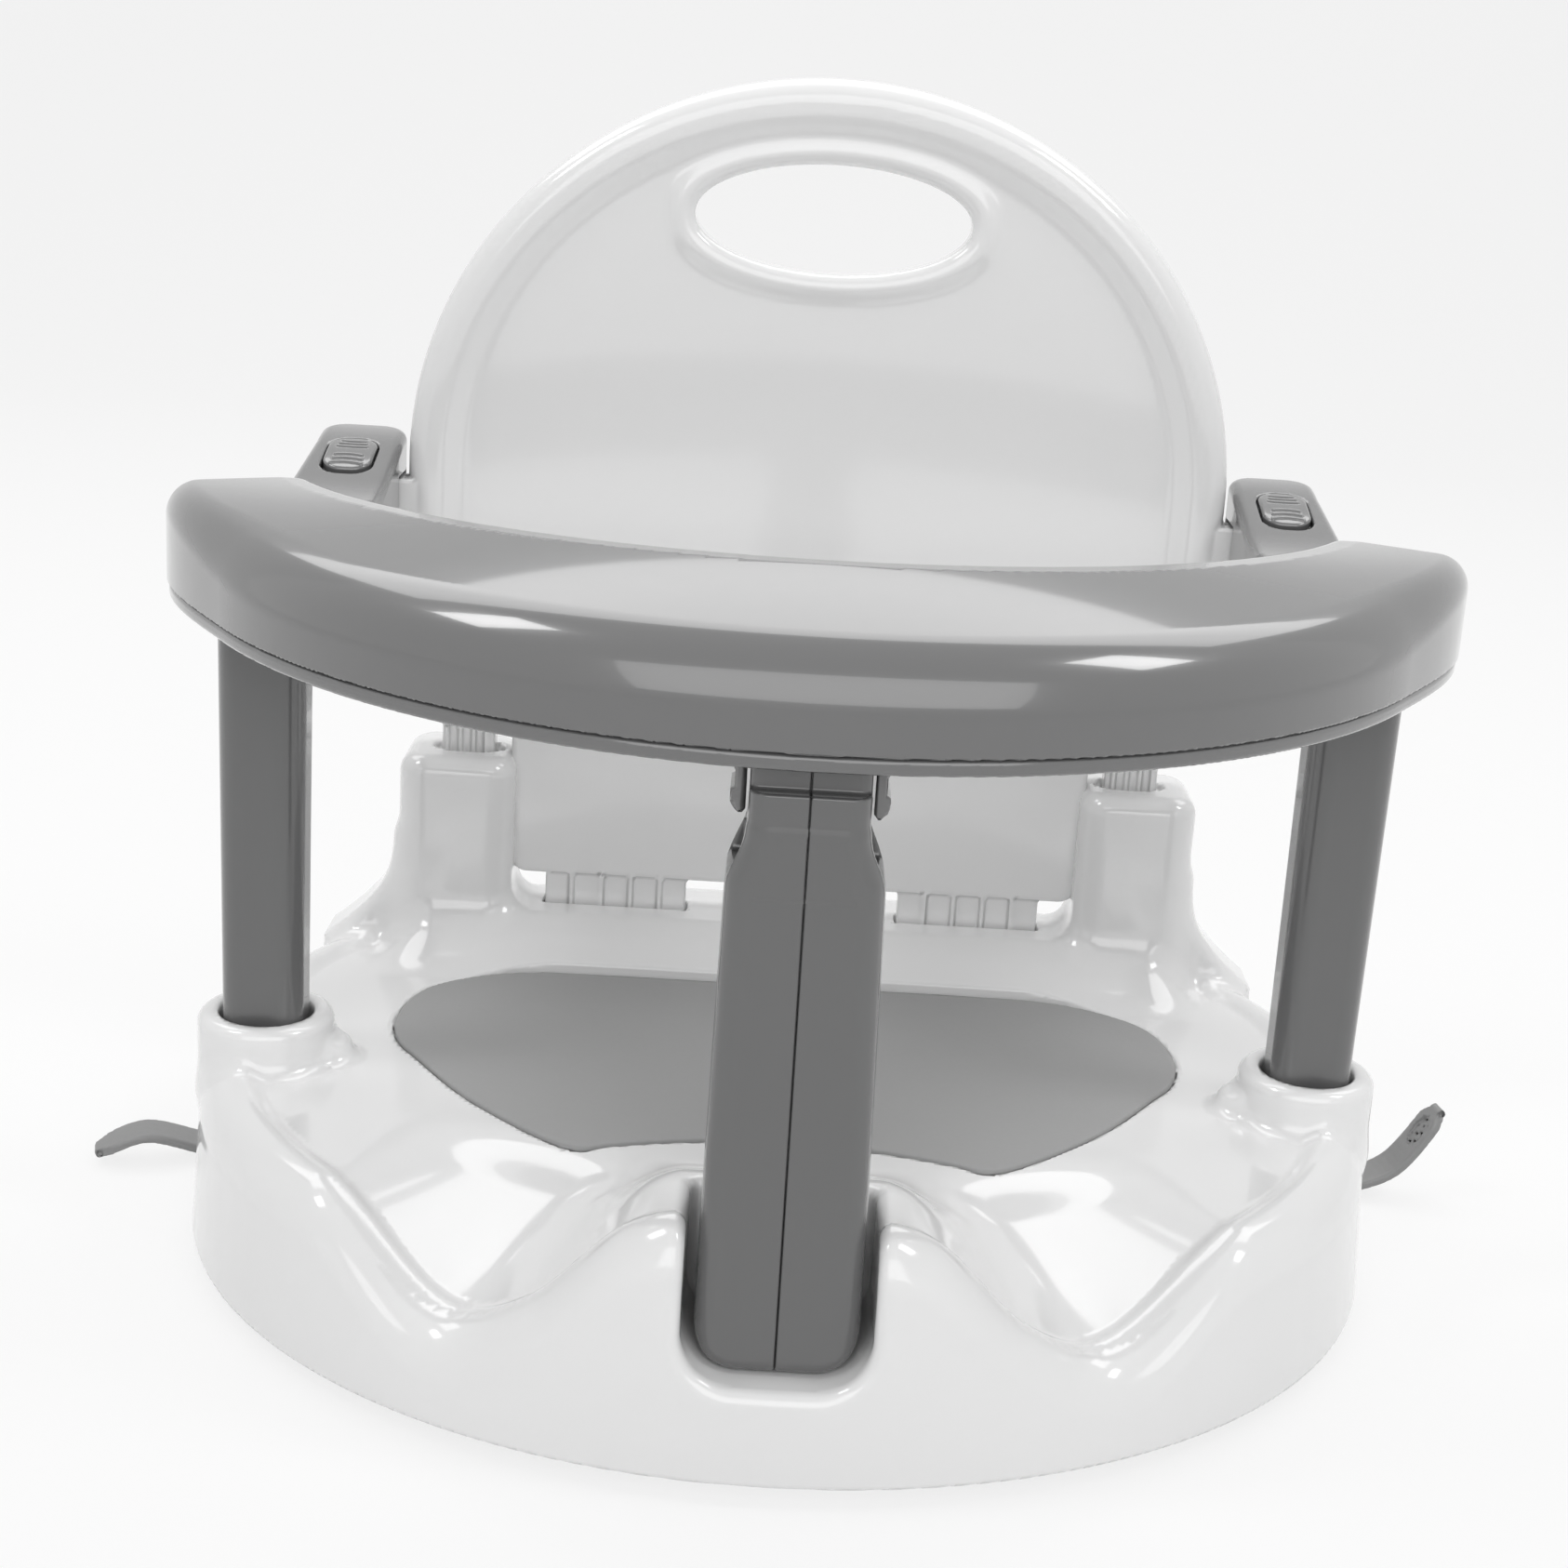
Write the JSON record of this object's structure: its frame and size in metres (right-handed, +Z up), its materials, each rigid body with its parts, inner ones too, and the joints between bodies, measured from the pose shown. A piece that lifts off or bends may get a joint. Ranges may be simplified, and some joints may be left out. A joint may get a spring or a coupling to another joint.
{
  "type": "baby bath seat",
  "caption": "Infant bath seat: moulded base on suction cups with a soft mat, lift-out backrest with a handle hole, and a safety guard bar that unlatches at its buttons.",
  "frame": {"origin": "middle of the bounding box on the floor, under the suction cups' rims", "axes": "+Z up, +Y towards the backrest, +X to the right seen from the front"},
  "size_m": [0.409, 0.274, 0.322],
  "materials": {
    "white_plastic": "glossy moulded",
    "grey_plastic": "glossy moulded",
    "mat_foam": "soft satin",
    "cup_rubber": "soft satin",
    "steel": "plated"
  },
  "bodies": {
    "base": {"base_shell": "white_plastic", "seat_mat": "mat_foam", "center_post_left_half": "grey_plastic", "center_post_right_half": "grey_plastic", "center_post_screws": "steel", "post_foot_screws": "steel", "suction_cup_front_left": "cup_rubber", "suction_cup_front_right": "cup_rubber", "suction_cup_rear_left": "cup_rubber", "suction_cup_rear_right": "cup_rubber"},
    "backrest": {"backrest_panel": "white_plastic"},
    "guard": {"bar_top_shell": "grey_plastic", "bar_bottom_cover": "grey_plastic", "bar_screws": "steel", "side_post_left": "grey_plastic", "side_post_right": "grey_plastic", "arm_shell_left": "grey_plastic", "arm_shell_right": "grey_plastic", "arm_cover_left": "grey_plastic", "arm_cover_right": "grey_plastic", "arm_screws": "steel"},
    "button_left": {"release_button_left": "grey_plastic", "latch_bolt_left": "grey_plastic", "button_spring_left": "steel"},
    "button_right": {"release_button_right": "grey_plastic", "latch_bolt_right": "grey_plastic", "button_spring_right": "steel"}
  },
  "joints": [
    {"name": "backrest_lift", "type": "slide", "parent": "base", "child": "backrest", "axis": [0, 0, 1], "range_m": [-0.0055, 0.045]},
    {"name": "guard_lift", "type": "slide", "parent": "backrest", "child": "guard", "axis": [0, 0, 1], "range_m": [0, 0.06]},
    {"name": "button_left_slide", "type": "slide", "parent": "guard", "child": "button_left", "axis": [0, -0.9659, -0.2588], "range_m": [0, 0.0025], "stiffness_N_per_m": 400, "springref_m": -0.0015},
    {"name": "button_right_slide", "type": "slide", "parent": "guard", "child": "button_right", "axis": [0, -0.9659, -0.2588], "range_m": [0, 0.0025], "stiffness_N_per_m": 400, "springref_m": -0.0015}
  ]
}
